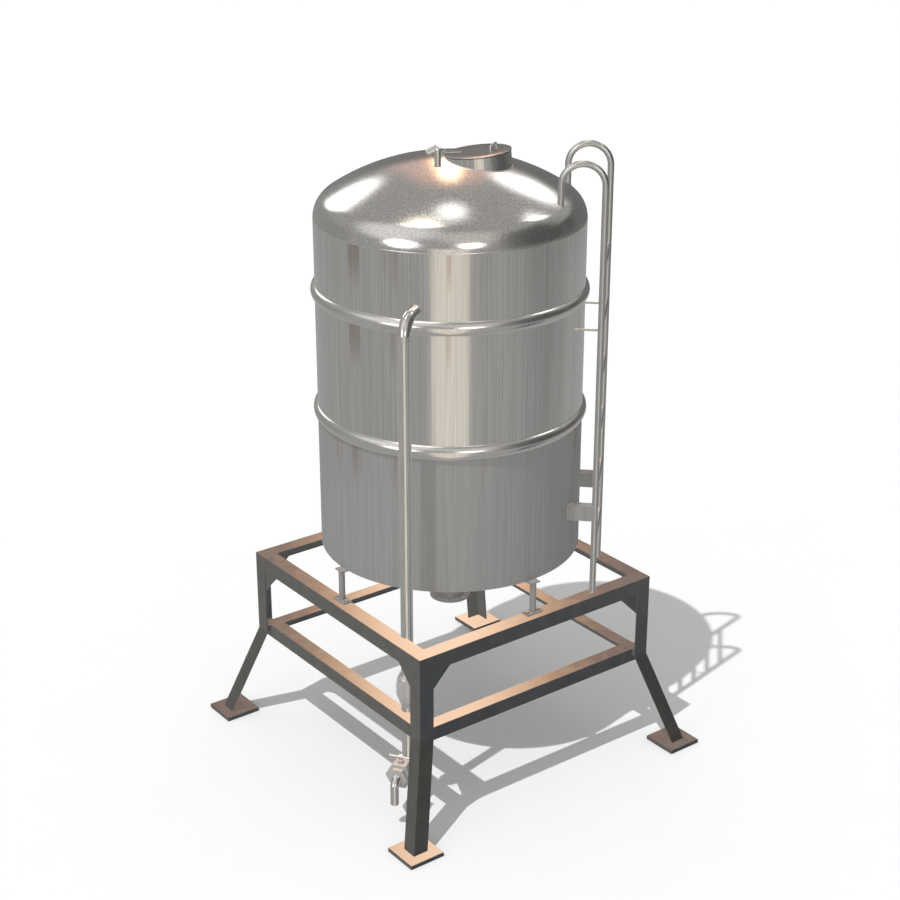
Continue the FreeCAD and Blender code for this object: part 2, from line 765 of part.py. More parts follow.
def strainer_basket():
    """A cup with a rim that hangs from the joint of cap and body, with rows of holes."""
    inside = basket_radius - basket_wall
    rim_reach = strainer_shoulder_radius - strainer_wall
    rim_low = strainer_shoulder - basket_rim
    cup = revolved([(0, basket_bottom), (basket_radius, basket_bottom), (basket_radius, rim_low),
                    (rim_reach, rim_low), (rim_reach, strainer_shoulder), (inside, strainer_shoulder),
                    (inside, basket_bottom + basket_wall), (0, basket_bottom + basket_wall)])
    step = (rim_low - basket_bottom) / (basket_rows + 1)
    for row in range(basket_rows):
        height = basket_bottom + step * (row + 1)
        for number in range(basket_holes):
            angle = 2 * math.pi * number / basket_holes
            reach = Vector(basket_radius * 2 * math.cos(angle), basket_radius * 2 * math.sin(angle), 0)
            cup = cup.cut(cylinder(basket_hole_radius, UP * height, UP * height + reach))
    return cup


def hexagonal_prism(half, start, end):
    """Six-sided bar along the tap's bore, half across its flats, with a flat on top."""
    corner = half / math.cos(math.pi / 6)
    points = []
    for number in range(6):
        angle = number * math.pi / 3
        points.append(Vector(start, corner * math.cos(angle), tap_height + corner * math.sin(angle)))
    return polygon_face(points).extrude(Vector(end - start, 0, 0))


def bore_along(radius, start, end):
    return cylinder(radius, Vector(start, 0, tap_height), Vector(end, 0, tap_height))


def build_tap():
    room = ball_radius + ball_clearance
    room_back = ball_offset - room
    body_top = tap_height + tap_half
    stem_axis = Vector(ball_offset, 0, 0)

    body = hexagonal_prism(tap_half, tap_back, tap_joint)
    boss = moved(cylinder(boss_radius, UP * body_top, UP * (body_top + boss_height)), stem_axis)
    body = body.fuse(boss).cut(bore_along(room, room_back, tap_joint))
    body = body.cut(bore_along(ball_bore_radius, tap_back, room_back))
    stem_bore = cylinder(stem_radius + stem_running_clearance, UP * tap_height,
                         UP * (body_top + boss_height))
    save("tap_body", riser_place(body.cut(moved(stem_bore, stem_axis))))

    cap = hexagonal_prism(cap_half, tap_joint, tap_front)
    save("tap_end_cap", riser_place(cap.cut(bore_along(spout_radius - spout_wall, tap_joint, tap_front))))

    middle = Vector(ball_offset, 0, tap_height)
    relief = Part.makeSphere(ball_radius + seat_clearance, middle)
    seats = []
    for start in (room_back, tap_joint - seat_run):
        end = start + seat_run
        ring = bore_along(room, start, end).cut(bore_along(ball_bore_radius, start, end))
        seats.append(riser_place(ring.cut(relief)))
    save("tap_seats", group(seats))

    crossing = Vector(0, ball_radius, 0)
    ball = Part.makeSphere(ball_radius, middle)
    ball = ball.cut(cylinder(ball_bore_radius, middle - crossing, middle + crossing))
    tang_top = tap_height + ball_radius
    tang_low = tang_top - stem_tang_depth
    lever_height = tap_height + lever_rise
    hub_top = lever_height + lever_hub_height / 2
    hub_low = hub_top - lever_hub_height
    shaft = moved(cylinder(stem_radius, UP * tang_low, UP * hub_top), stem_axis)
    half_tang = stem_tang_width / 2
    flats = []
    for side in (-1, 1):
        near = side * half_tang
        far = side * stem_radius
        flats.append(box_between(Vector(ball_offset - stem_radius, min(near, far), tang_low),
                                 Vector(ball_offset + stem_radius, max(near, far), tang_top)))
    stem = shaft.cut(flats[0]).cut(flats[1])
    save("tap_ball", riser_place(ball.cut(stem)))
    save("tap_stem", riser_place(stem))

    hub = moved(cylinder(lever_hub_radius, UP * hub_low, UP * hub_top), stem_axis)
    reach = Vector(0, lever_half, 0)
    centre = Vector(ball_offset, 0, lever_height)
    rod = cylinder(lever_radius, centre - reach, centre + reach)
    save("tap_lever", riser_place(joined([hub, rod]).cut(shaft)))

    spout_x = tap_front + spout_bend_radius
    route = [Vector(tap_front, 0, tap_height), Vector(spout_x, 0, tap_height),
             Vector(spout_x, 0, spout_end)]
    save("tap_spout", riser_place(bent_tube(route, spout_bend_radius, spout_radius, spout_wall)))


def main():
    envelope = tank_envelope()
    build_stand()
    build_shell()
    build_stub_legs()
    build_manway(envelope)
    build_vent(envelope)
    build_ladder(envelope)
    build_riser()
    build_tap()


main()
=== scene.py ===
"""The looks of a stainless steel tank on a stand of angle iron, with its ladder, riser and tap.

Metres, +Z up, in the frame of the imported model. Round pieces are surfaces on a grid, worked out
with numpy: a profile turned about an axis, or a ring carried along a path. Flat pieces keep the
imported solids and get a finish, and the welds between them are added as beads.
"""
import math

import bpy
import numpy as np
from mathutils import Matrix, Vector


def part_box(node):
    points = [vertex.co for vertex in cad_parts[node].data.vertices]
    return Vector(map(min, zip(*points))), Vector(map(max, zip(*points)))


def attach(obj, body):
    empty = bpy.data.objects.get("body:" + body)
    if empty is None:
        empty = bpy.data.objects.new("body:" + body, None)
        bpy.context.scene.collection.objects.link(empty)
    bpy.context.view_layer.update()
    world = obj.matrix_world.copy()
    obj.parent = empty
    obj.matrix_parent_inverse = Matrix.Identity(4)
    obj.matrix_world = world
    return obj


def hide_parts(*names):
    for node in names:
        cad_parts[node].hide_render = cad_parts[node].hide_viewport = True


bl_info = {
    "name": "Stainless steel tank",
    "version": (1, 0, 0),
    "blender": (4, 5, 0),
    "location": "View3D > Sidebar > Tank",
    "description": "Finishes, welds and smooth surfaces for a tank on a square stand",
    "category": "Add Mesh",
}

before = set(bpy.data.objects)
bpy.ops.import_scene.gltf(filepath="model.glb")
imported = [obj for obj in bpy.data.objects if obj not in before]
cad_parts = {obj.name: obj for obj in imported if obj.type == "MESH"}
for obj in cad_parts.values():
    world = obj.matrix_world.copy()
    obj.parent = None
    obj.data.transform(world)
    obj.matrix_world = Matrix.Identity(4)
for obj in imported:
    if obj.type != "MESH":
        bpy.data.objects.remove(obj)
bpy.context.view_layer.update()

MM = 0.001
TANK = "tank_and_stand"
LID = "manway_lid"
SHELL_LOW, SHELL_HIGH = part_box("tank_shell")
FRAME_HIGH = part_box("upper_rail_front")[1]
RADIUS = SHELL_HIGH.x

STILE_WALL, RUNG_WALL, STRAINER_WALL, SPOUT_WALL = 3.2 * MM, 2.6 * MM, 3 * MM, 2 * MM
RUNGS = 6
BRACKET_WIDTH = 49 * MM
STRAP_LENGTH, STRAP_HALF_WIDTH, STRAP_INSET = 89 * MM, 18 * MM, 4 * MM

# Sides of the round pieces
SHELL_SIDES, MANWAY_SIDES, STRAINER_SIDES, PIPE_SIDES, STILE_SIDES, RUNG_SIDES = (
    256, 144, 96, 48, 40, 32)

# Points round the welds at the manway, the vent's mitres, the rungs and the riser's nozzle
COLLAR_POINTS, MITRE_POINTS, RUNG_POINTS, NOZZLE_POINTS = 600, 96, 64, 200

# Weld beads: width, height and the length of one ripple, in millimetres
SHELL_SEAM = (7, 0.5, 50)
RING_WELD = (6, 1.2, 50)
OPENING_WELD = (8, 3, 6)
STANDING_WELD = (6, 2.2, 6)
HANDLE_WELD = (4, 1.8, 4)
STRAP_WELD = (5, 2, 5)
MITRE_WELD = (4, 0.8, 4)
STILE_WELD = (7, 2.5, 6)
RUNG_WELD = (5, 1.8, 6)
PIPE_SEAM = (4, 1, 4)
END_SEAM = (6, 1, 4)

# The stage, in metres, with the lens and its sensor in millimetres
FLOOR_REACH = 120
CAMERA_AT = (-5.4254, -7.1743, 5.4645)
CAMERA_AIM = (0.0157, 0.0214, 1.6942)
CAMERA_FAR = 500
LENS, SENSOR = 72.63, 36
SUN_HEADING = Vector((0.4727, 0.1045, -1))
SUN_ENERGY = 2.25
SUN_WIDTH = math.radians(0.6)
ROOM_GREY = 0.41
SKY_GREY = 0.57


def length(name, description, default_mm):
    """A size in the panel, given in millimetres and kept in metres."""
    return bpy.props.FloatProperty(name=name, description=description, default=default_mm * MM,
                                   unit="LENGTH", precision=4)


def angle(name, description, degrees):
    return bpy.props.FloatProperty(name=name, description=description,
                                   default=math.radians(degrees), unit="ROTATION")


def colour(name, description, hex_code):
    return bpy.props.FloatVectorProperty(name=name, description=description, subtype="COLOR",
                                         size=4, min=0, max=1, default=linear(hex_code))


def linear(hex_code):
    """sRGB hex to linear RGBA: below 0.04045 a twelfth, above it the 2.4 power curve."""
    parts = [int(hex_code[i:i + 2], 16) / 255 for i in (1, 3, 5)]
    bent = [p / 12.92 if p <= 0.04045 else ((p + 0.055) / 1.055) ** 2.4 for p in parts]
    return (*bent, 1.0)


class TankSizes(bpy.types.PropertyGroup):
    """Sizes of the tank, its manway and its vent."""
    wall: length("Wall", "Sheet thickness of shell and heads", 4)
    crown: length("Crown radius", "Outside radius of the top head's crown", 1150)
    knuckle: length("Knuckle radius", "Outside radius of its edge", 149)
    ring_wall: length("Ring wall", "Sheet of the stiffening rings", 3)
    manway_distance: length("Manway distance", "From the tank's axis to the lid's centre", 148)
    manway_angle: angle("Manway direction", "From the tank's axis to the lid", -55.6)
    manway_lean: angle("Manway lean", "Collar's lean to the axis", 6.3)
    manway_rise: length("Manway rise", "Lid's centre above the head", 39.8)
    lid_radius: length("Lid radius", "Radius of the manway's lid", 167.5)
    lid_thickness: length("Lid thickness", "Plate of the lid", 5)
    gasket: length("Gasket", "Thickness under the lid", 3)
    collar_radius: length("Collar radius", "Outside radius of the collar", 165)
    handle_span: length("Handle span", "Between the handle's legs", 97)
    handle_rise: length("Handle rise", "Handle's bar above the lid", 29)
    handle_bar: length("Handle bar", "Radius of the bar", 6)
    handle_bend: length("Handle bend", "Bend radius of the handle", 14)
    handle_offset: length("Handle offset", "From the lid's centre to the handle", 82)
    vent_distance: length("Vent distance", "From the tank's axis to the vent", 188)
    vent_angle: angle("Vent direction", "From the tank's axis to the vent", 213.9)
    vent_heading: angle("Vent heading", "Where the vent's arm points", 143)
    vent_radius: length("Vent radius", "Outside radius", 16.85)
    vent_wall: length("Vent wall", "Wall of the vent pipe", 2.6)
    vent_rise: length("Vent rise", "Elbow's corner above the head", 95)
    vent_run: length("Vent run", "Arm's reach from the upright", 54)
    vent_fall: length("Vent fall", "Arm's drop to its mouth", 28)
    vent_bevel: length("Vent bevel", "Cut off each leg by the middle run", 14)


class PipeSizes(bpy.types.PropertyGroup):
    """Sizes of the ladder, the riser and the tap's spout."""
    ladder_angle: angle("Ladder direction", "From the tank's axis to the ladder", -45)
    ladder_distance: length("Ladder distance", "From the tank's axis to the stiles' plane", 798)
    ladder_inset: length("Ladder inset", "From the frame's outer faces to the stiles' axes", 54.5)
    stile_radius: length("Stile radius", "Radius of the ladder's stiles", 16.85)
    hook_radius: length("Hook radius", "Their bend radius", 109)
    hook_rise: length("Hook rise", "From the frame's top to the hooks' axis", 2320)
    rung_radius: length("Rung radius", "Outside radius of the rungs", 13.45)
    riser_distance: length("Riser distance", "Between both axes", 848)
    riser_angle: angle("Riser direction", "From the tank's axis to the riser", 217.9)
    riser_heading: angle("Riser heading", "Outward heading of elbow and tap", 212.5)
    riser_radius: length("Riser radius", "Outside radius", 31.75)
    riser_wall: length("Riser wall", "Wall of the riser pipe", 2)
    elbow_radius: length("Elbow radius", "Bend radius at its top", 95)
    foot_bend: length("Foot bend", "Bend radius at its foot", 63.5)
    nozzle_reach: length("Nozzle reach", "Riser's end inside the shell", 20)
    tap_height: length("Tap height", "Tap's bore above the floor", 264)
    tap_back: length("Tap back", "From the riser's axis to the tap's body", 70)
    tap_front: length("Tap front", "From the riser's axis to the end cap's face", 160)
    shoulder: length("Shoulder radius", "Strainer's radius under its cap", 50)
    waist: length("Waist radius", "Strainer's largest radius", 56)
    waist_height: length("Waist height", "Strainer's largest radius above the floor", 683)
    spout_radius: length("Spout radius", "Outside radius", 22.3)
    spout_bend: length("Spout bend", "Bend radius of the spout", 34)
    spout_end: length("Spout end", "Spout's mouth above the floor", 133)


class FinishColours(bpy.types.PropertyGroup):
    """Colours of the finishes."""
    sheet_light: colour("Sheet, light", "Light streaks", "#e3e2df")
    sheet_dark: colour("Sheet, dark", "Dark streaks", "#cbc9c5")
    sheet_dull: colour("Sheet, dull", "Tint of the lowest course", "#6b6b6d")
    stain: colour("Run-off stain", "Brown stain under the rings", "#a08674")
    head_light: colour("Head, light", "Specks that catch light", "#e6e4e0")
    head_dark: colour("Head, dark", "Specks that stay dull", "#c8c5c0")
    angle_light: colour("Angle, light", "Bright clouds", "#85837f")
    angle_dark: colour("Angle, dark", "Dull clouds", "#7d7b78")
    tube_light: colour("Tube, light", "Bright lines", "#eceae6")
    tube_dark: colour("Tube, dark", "Dull lines", "#cfccc7")
    satin_light: colour("Satin tube, light", "Bright lines", "#d3d2d0")
    satin_dark: colour("Satin tube, dark", "Dull lines", "#c0bfbc")
    cast_light: colour("Casting, light", "Bright grains", "#cbc9c6")
    cast_dark: colour("Casting, dark", "Dull grains", "#bcbab7")
    weld_clean: colour("Weld, clean", "Brushed weld metal", "#cfccc8")
    weld_tint: colour("Weld, tint", "Straw-coloured heat tint", "#c2ab8c")
    bolt_light: colour("Fastener, light", "Bright grains", "#dedcd8")
    bolt_dark: colour("Fastener, dark", "Dull grains", "#c9c7c3")
    floor: colour("Floor", "Plain pale floor", "#e9e9e9")
    floor_dull: colour("Floor, dull", "Faint clouds of the floor", "#e3e3e3")


def sizes():
    return bpy.context.scene.tank_sizes


def pipes():
    return bpy.context.scene.pipe_sizes


def colours():
    return bpy.context.scene.finish_colours


# Surfaces

def ring_angles(count):
    return np.linspace(0, 2 * math.pi, count, endpoint=False)


def circle(radius, height, angles):
    """Points of a level circle: x = r cos a, y = r sin a, z = h."""
    x, y = radius * np.cos(angles), radius * np.sin(angles)
    return np.stack(np.broadcast_arrays(x, y, height), axis=-1)


def turned_grid(profile, count):
    """Turns (radius, height) points about Z: x = r cos a, y = r sin a, z = h."""
    profile = np.asarray(profile, float)
    a = ring_angles(count)
    x = profile[:, :1] * np.cos(a)
    y = profile[:, :1] * np.sin(a)
    z = np.repeat(profile[:, 1:2], count, axis=1)
    return np.stack([x, y, z], axis=-1)


def arc_points(centre, radius, start, end, count):
    """Points (c + r cos a, c + r sin a) for angles from start to end, in degrees."""
    a = np.radians(np.linspace(start, end, count))
    return np.stack([centre[0] + radius * np.cos(a), centre[1] + radius * np.sin(a)], axis=-1)


def bent_path(corners, radius, arc_steps=14):
    """Straight runs through the corners with a tangent arc at each inner one: the arc's centre
    is on the line that halves the corner, at radius over the cosine of half the turn."""
    corners = np.asarray(corners, float)
    rows = [corners[:1]]
    for before, corner, after in zip(corners, corners[1:], corners[2:]):
        back = unit(before - corner)
        ahead = unit(after - corner)
        half_turn = (math.pi - math.acos(float(np.clip(back @ ahead, -1, 1)))) / 2
        centre = corner + unit(back + ahead) * radius / math.cos(half_turn)
        first = corner + back * radius * math.tan(half_turn) - centre
        turn = np.linspace(0, 2 * half_turn, arc_steps)[:, None]
        rows.append(centre + first * np.cos(turn) - back * radius * np.sin(turn))
    rows.append(corners[-1:])
    path = np.concatenate(rows)
    apart = np.linalg.norm(np.diff(path, axis=0), axis=1) > 1e-6
    return path[np.concatenate([[True], apart])]


def unit(vectors):
    vectors = np.asarray(vectors, float)
    return vectors / np.linalg.norm(vectors, axis=-1, keepdims=True)


def path_frames(path, plane):
    """For a path in one plane: at each point the normal that lies in the plane, square to the
    line that halves the turn, and how much a ring stretches there to stay round in the runs."""
    steps = unit(np.diff(path, axis=0))
    before = np.vstack([steps[:1], steps])
    after = np.vstack([steps, steps[-1:]])
    middle = unit(before + after)
    normals = np.cross(np.broadcast_to(plane, middle.shape), middle)
    stretch = 1 / np.sum(middle * after, axis=1, keepdims=True)
    return normals, stretch


def ring_sweep(path, plane, radii, count):
    """Carries a ring along a path in one plane: p + r (cos a · normal + sin a · plane)."""
    plane = unit(plane)
    normals, stretch = path_frames(path, plane)
    a = ring_angles(count)
    radii = np.broadcast_to(np.asarray(radii, float).reshape(-1, 1, 1), (len(path), 1, 1))
    across = normals[:, None, :] * stretch[:, None, :] * np.cos(a)[None, :, None]
    aside = plane[None, None, :] * np.sin(a)[None, :, None]
    return path[:, None, :] + radii * (across + aside)


def tube_grid(path, plane, radius, wall, count=PIPE_SIDES):
    """A tube's outside along its path and its inside back again, which close at both mouths."""
    outside = ring_sweep(path, plane, radius, count)
    inside = ring_sweep(path, plane, radius - wall, count)[::-1]
    return np.concatenate([outside, inside])


def bead_grid(line, out, weld, closed):
    """A weld bead: a flat ellipse carried along a line, half sunk, whose height swells by a
    fifth with each ripple of the weld pool; an open bead tapers at both ends."""
    width, proud, ripple = (size * MM for size in weld)
    run = np.concatenate([[0], np.cumsum(np.linalg.norm(np.diff(line, axis=0), axis=1))])
    if closed:
        ahead = np.roll(line, -1, axis=0) - np.roll(line, 1, axis=0)
        total = run[-1] + np.linalg.norm(line[0] - line[-1])
        waves = max(1, round(total / ripple))
        taper = np.ones(len(line))
    else:
        ahead = np.gradient(line, axis=0)
        total = run[-1]
        waves = total / ripple
        taper = np.clip(np.minimum(run, total - run) / width + 0.25, 0.25, 1)
    side = unit(np.cross(unit(ahead), out))
    swell = taper * (1 + 0.2 * np.sin(2 * math.pi * waves * run / total))
    a = ring_angles(8)
    high = proud * swell[:, None, None] * np.sin(a)[None, :, None] * out[:, None, :]
    wide = width / 2 * taper[:, None, None] * np.cos(a)[None, :, None] * side[:, None, :]
    return line[:, None, :] + high + wide


def ring_bead(radius, height, out_tilt, weld):
    """A weld round an axis: its ripples are sampled four times each."""
    a = ring_angles(max(24, int(2 * math.pi * radius / (weld[2] * MM) * 4)))
    tilt = math.radians(out_tilt)
    out = circle(math.cos(tilt), math.sin(tilt), a)
    return bead_grid(circle(radius, height, a), out, weld, True)


def straight_bead(start, end, out, weld):
    start, end = np.asarray(start, float), np.asarray(end, float)
    count = max(8, int(np.linalg.norm(end - start) / (weld[2] * MM) * 4))
    line = start + (end - start) * np.linspace(0, 1, count)[:, None]
    return bead_grid(line, np.broadcast_to(unit(out), line.shape), weld, False)


def grid_faces(rows, columns, closed):
    """Quads between neighbouring rows, round every row; a closed grid joins its last row to
    its first, and an open one gets a flat face at each end."""
    across = np.arange(columns)
    ahead = (across + 1) % columns
    down = np.arange(rows if closed else rows - 1)[:, None]
    below = (down + 1) % rows
    quads = np.stack([down * columns + across, down * columns + ahead,
                      below * columns + ahead, below * columns + across], axis=-1)
    quads = quads.reshape(-1, 4)
    ends = [] if closed else [across[::-1], (rows - 1) * columns + across]
    return quads, ends


def signed_volume(points, quads, ends):
    """A sixth of the sum of a · (b x c) over all triangles: negative if faces point inwards."""
    points = points - points.mean(axis=0)
    triangles = [quads[:, [0, 1, 2]], quads[:, [0, 2, 3]]]
    for end in ends:
        fan = np.stack([np.full(len(end) - 2, end[0]), end[1:-1], end[2:]], axis=-1)
        triangles.append(fan)
    a, b, c = np.moveaxis(points[np.concatenate(triangles)], 1, 0)
    return float(np.sum(a * np.cross(b, c))) / 6


def link(thing):
    bpy.context.scene.collection.objects.link(thing)


def add_piece(name, grids, finish, replaces=(), body=TANK, sharp=35):
    """One mesh from (points, closed) grids. Each grid is a closed solid with its faces out.
    Edges that turn by more than sharp, in degrees, stay sharp."""
    vertices, faces, first = [], [], 0
    for points, closed in grids:
        rows, columns = points.shape[:2]
        flat = points.reshape(-1, 3)
        quads, ends = grid_faces(rows, columns, closed)
        outwards = signed_volume(flat, quads, ends) > 0
        for batch in (quads, *[end[None, :] for end in ends]):
            batch = batch if outwards else batch[:, ::-1]
            faces.extend((batch + first).tolist())
        vertices.append(flat)
        first += len(flat)
    mesh = bpy.data.meshes.new(name)
    mesh.from_pydata(np.concatenate(vertices), [], faces)
    mesh.polygons.foreach_set("use_smooth", np.ones(len(faces), bool))
    mesh.set_sharp_from_angle(angle=math.radians(sharp))
    mesh.materials.append(finish_for(finish))
    mesh.validate()
    piece = bpy.data.objects.new(name, mesh)
    link(piece)
    piece.visible_glossy = False
    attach(piece, body)
    if replaces:
        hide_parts(*replaces)


def add_welds(name, beads, body=TANK, finish="weld"):
    """Weld beads in one mesh, with their ripples smooth."""
    add_piece(name, beads, finish, body=body, sharp=60)


# Places

def rotated(points, turn):
    """Turns points about Z."""
    x, y, z = np.moveaxis(points, -1, 0)
    return np.stack([x * math.cos(turn) - y * math.sin(turn),
                     x * math.sin(turn) + y * math.cos(turn), z], axis=-1)


def crown_sink():
    """How far the centre of the head's crown lies under the shell's top."""
    s = sizes()
    return math.sqrt((s.crown - s.knuckle) ** 2 - (RADIUS - s.knuckle) ** 2)


def head_height(radius, thinner=0.0):
    """Height of the top head at a radius: the crown's arc, and beyond its joint the knuckle's."""
    s = sizes()
    crown, knuckle = s.crown - thinner, s.knuckle - thinner
    reach = RADIUS - s.knuckle
    joint = crown * reach / (s.crown - s.knuckle)
    radius = np.asarray(radius, float)
    on_crown = SHELL_HIGH.z - crown_sink() + np.sqrt(np.maximum(crown ** 2 - radius ** 2, 0))
    on_knuckle = SHELL_HIGH.z + np.sqrt(np.maximum(knuckle ** 2 - (radius - reach) ** 2, 0))
    return np.where(radius < joint, on_crown, on_knuckle)


def manway_place(points):
    """From the lid's own axes, with X towards the tank's axis and Z out of the lid."""
    s = sizes()
    x, y, z = np.moveaxis(np.asarray(points, float), -1, 0)
    leant = np.stack([x * math.cos(s.manway_lean) + z * math.sin(s.manway_lean), y,
                      z * math.cos(s.manway_lean) - x * math.sin(s.manway_lean)], axis=-1)
    level = head_height(s.manway_distance) + s.manway_rise
    centre = circle(s.manway_distance, level, s.manway_angle)
    return rotated(leant, s.manway_angle + math.pi) + centre


def collar_on_head(radius, directions, thinner=0.0):
    """Where the collar's line at each plan direction meets the head's crown: a line and a
    sphere, solved as t = b - sqrt(b² - c) along the collar's axis."""
    s = sizes()
    local = directions - (s.manway_angle + math.pi)
    start = manway_place(circle(radius, 0, local))
    down = manway_place([0, 0, -1]) - manway_place([0, 0, 0])
    from_centre = start - [0, 0, SHELL_HIGH.z - crown_sink()]
    b = -(from_centre @ down)
    c = np.sum(from_centre ** 2, axis=1) - (s.crown - thinner) ** 2
    return start + down * (b - np.sqrt(b ** 2 - c))[:, None]


def riser_place(points):
    """From the riser's own axes, with X outwards, to the tank's."""
    p = pipes()
    foot = circle(p.riser_distance, 0, p.riser_angle)
    return rotated(np.asarray(points, float), p.riser_heading) + foot


def ladder_place(points):
    """From the ladder's own axes, with X away from the tank, to the tank's."""
    return rotated(np.asarray(points, float), pipes().ladder_angle)


# Finishes

def add_node(tree, kind, settings=None, inputs=None):
    """A node with its settings. An input is a constant, or another node's output to link."""
    node = tree.nodes.new("ShaderNode" + kind)
    for name, value in (settings or {}).items():
        setattr(node, name, value)
    for key, value in (inputs or {}).items():
        if isinstance(value, bpy.types.NodeSocket):
            tree.links.new(value, node.inputs[key])
        else:
            node.inputs[key].default_value = value
    return node


def new_finish(name):
    """A material with only an output, and its node tree."""
    finish = bpy.data.materials.new(name)
    finish.use_nodes = True
    finish.node_tree.nodes.clear()
    return finish, finish.node_tree


def maths(tree, operation, *values):
    """The result of a maths node."""
    return add_node(tree, "Math", {"operation": operation},
                    dict(enumerate(values))).outputs[0]


def vector_maths(tree, operation, *values):
    """The result of a vector maths node: a vector, or for a dot product a value."""
    node = add_node(tree, "VectorMath", {"operation": operation},
                    dict(enumerate(values)))
    return node.outputs["Value" if operation == "DOT_PRODUCT" else "Vector"]


def grain(tree, across_mm, along_mm, detail=4):
    """Noise on the object's own coordinates, stretched along Z to a real grain size."""
    across, along = 1 / (across_mm * MM), 1 / (along_mm * MM)
    place = add_node(tree, "TexCoord").outputs["Object"]
    stretched = vector_maths(tree, "MULTIPLY", place, (across, across, along))
    noise = add_node(tree, "TexNoise", {"noise_dimensions": "3D"},
                     {"Vector": stretched, "Scale": 1.0, "Detail": detail, "Roughness": 0.6})
    return noise.outputs["Fac"]


def ranged(tree, value, low, high, new_low, new_high, smooth=False):
    """A value moved from one range to another, and kept inside it."""
    kind = "SMOOTHSTEP" if smooth else "LINEAR"
    return add_node(tree, "MapRange", {"interpolation_type": kind},
                    {"Value": value, "From Min": low, "From Max": high,
                     "To Min": new_low, "To Max": new_high}).outputs["Result"]


def mixed(tree, share, first, second):
    """A colour between two others, by a share from 0 to 1."""
    return add_node(tree, "Mix", {"data_type": "RGBA"},
                    {"Factor": share, 6: first, 7: second}).outputs[2]


def steel(tree, base, roughness, bump, bump_mm, metallic=1.0):
    """Bare stainless steel: a metal with the given colour, roughness and fine relief. Its
    metallic value is under 1 where pickling or casting left a skin that scatters light."""
    inputs = {"Base Color": base, "Metallic": metallic, "Roughness": roughness}
    if bump_mm:
        relief = add_node(tree, "Bump", {},
                          {"Height": bump, "Distance": bump_mm * MM, "Strength": 1.0})
        inputs["Normal"] = relief.outputs["Normal"]
    shader = add_node(tree, "BsdfPrincipled", {}, inputs)
    add_node(tree, "OutputMaterial", {}, {"Surface": shader.outputs["BSDF"]})


def rolled_sheet():
    """Cold-rolled stainless sheet, brushed upright: sharp reflections drawn into fine upright
    streaks, and a weak brown stain where water ran off under each ring. The lowest course,
    and the fittings under it, are darker, rougher and less metallic."""
    finish, tree = new_finish("rolled stainless sheet")
    c = colours()
    fine = grain(tree, 5, 900)
    broad = grain(tree, 45, 1600, detail=2)
    base = mixed(tree, ranged(tree, fine, 0.35, 0.65, 0.0, 1.0), c.sheet_dark, c.sheet_light)
    place = add_node(tree, "TexCoord").outputs["Object"]
    height = add_node(tree, "SeparateXYZ", {}, {0: place}).outputs["Z"]
    patches = ranged(tree, grain(tree, 150, 9000, detail=2), 0.58, 0.66, 0.0, 1.0, True)
    stain_start, stain_end, stain_most = 0.04, 0.26, 0.5
    for top in ring_undersides():
        fade = ranged(tree, height, top - stain_end, top - stain_start, 0.0, stain_most, True)
        below = ranged(tree, height, top, top + 4 * MM, 1.0, 0.0)
        amount = maths(tree, "MULTIPLY", maths(tree, "MULTIPLY", fade, below), patches)
        base = mixed(tree, amount, base, c.stain)
    girth = ring_undersides()[0]

    def course(lowest, others):
        return ranged(tree, height, girth, girth + MM, lowest, others)

    # Below the lower ring's underside the sheet is mixed towards the dark dull tint, and made
    # rougher and less metallic
    base = mixed(tree, course(0.6, 0.0), base, c.sheet_dull)
    roughness = maths(tree, "ADD", ranged(tree, broad, 0.3, 0.7, 0.13, 0.2), course(0.45, 0.0))
    steel(tree, base, roughness, fine, 0.02, course(0.55, 1.0))
    return finish


def ring_undersides():
    """Heights under which a band of the shell starts: both rings and the head's seam."""
    rings = [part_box(name)[0].z for name in ("lower_stiffening_ring", "upper_stiffening_ring")]
    return [*rings, SHELL_HIGH.z]


def pickled_angle():
    """Hot-rolled stainless angle, pickled: a duller, darker grey with broad clouds, some slightly
    lighter, and a soft sheen."""
    finish, tree = new_finish("pickled stainless angle")
    c = colours()
    clouds = grain(tree, 70, 70, detail=5)
    pits = grain(tree, 4, 4, detail=3)
    base = mixed(tree, ranged(tree, clouds, 0.35, 0.65, 0.0, 1.0), c.angle_dark, c.angle_light)
    steel(tree, base, ranged(tree, clouds, 0.3, 0.7, 0.13, 0.18), pits, 0.004, metallic=0.9)
    return finish


# Steels whose shade, roughness and relief follow one grain. Each row has the material's name,
# the grain's width and length in mm and its detail, two shades, the part of the noise that
# they span, the lowest and highest roughness, the relief in mm and the metallic value.
STEELS = {
    # Spun and glass-blasted: soft reflections with a fine, grainy sparkle. The blasted grain
    # is drawn 6 mm coarse, because the real half millimetre is too fine to show.
    "head": ("spun and blasted stainless", (6, 6, 2), ("head_dark", "head_light"),
             (0.38, 0.62), (0.1, 0.18), 0.25, 1.0),
    # Bright, with a faint long grain from the polishing belt
    "tube": ("polished stainless tube", (3, 140, 4), ("tube_dark", "tube_light"),
             (0.35, 0.65), (0.14, 0.22), 0.015, 1.0),
    # A satin belt finish, for the ladder: softer and greyer than polished
    "satin": ("satin stainless tube", (3, 140, 4), ("satin_dark", "satin_light"),
              (0.35, 0.65), (0.24, 0.32), 0.02, 1.0),
    # Investment-cast and vibration-polished: satin, with a fine even grain
    "cast": ("cast stainless", (2.5, 2.5, 3), ("cast_dark", "cast_light"),
             (0.3, 0.7), (0.34, 0.42), 0.04, 0.55),
    # TIG weld, brushed after welding: bright metal with a little straw-coloured heat tint
    "weld": ("brushed weld metal", (18, 18, 2), ("weld_clean", "weld_tint"),
             (0.5, 0.75), (0.22, 0.32), 0, 1.0),
    # Turned and rolled fasteners: bright, with a fine turning grain
    "bolt": ("turned stainless", (1.5, 1.5, 2), ("bolt_dark", "bolt_light"),
             (0, 1), (0.18, 0.28), 0.02, 1.0),
}


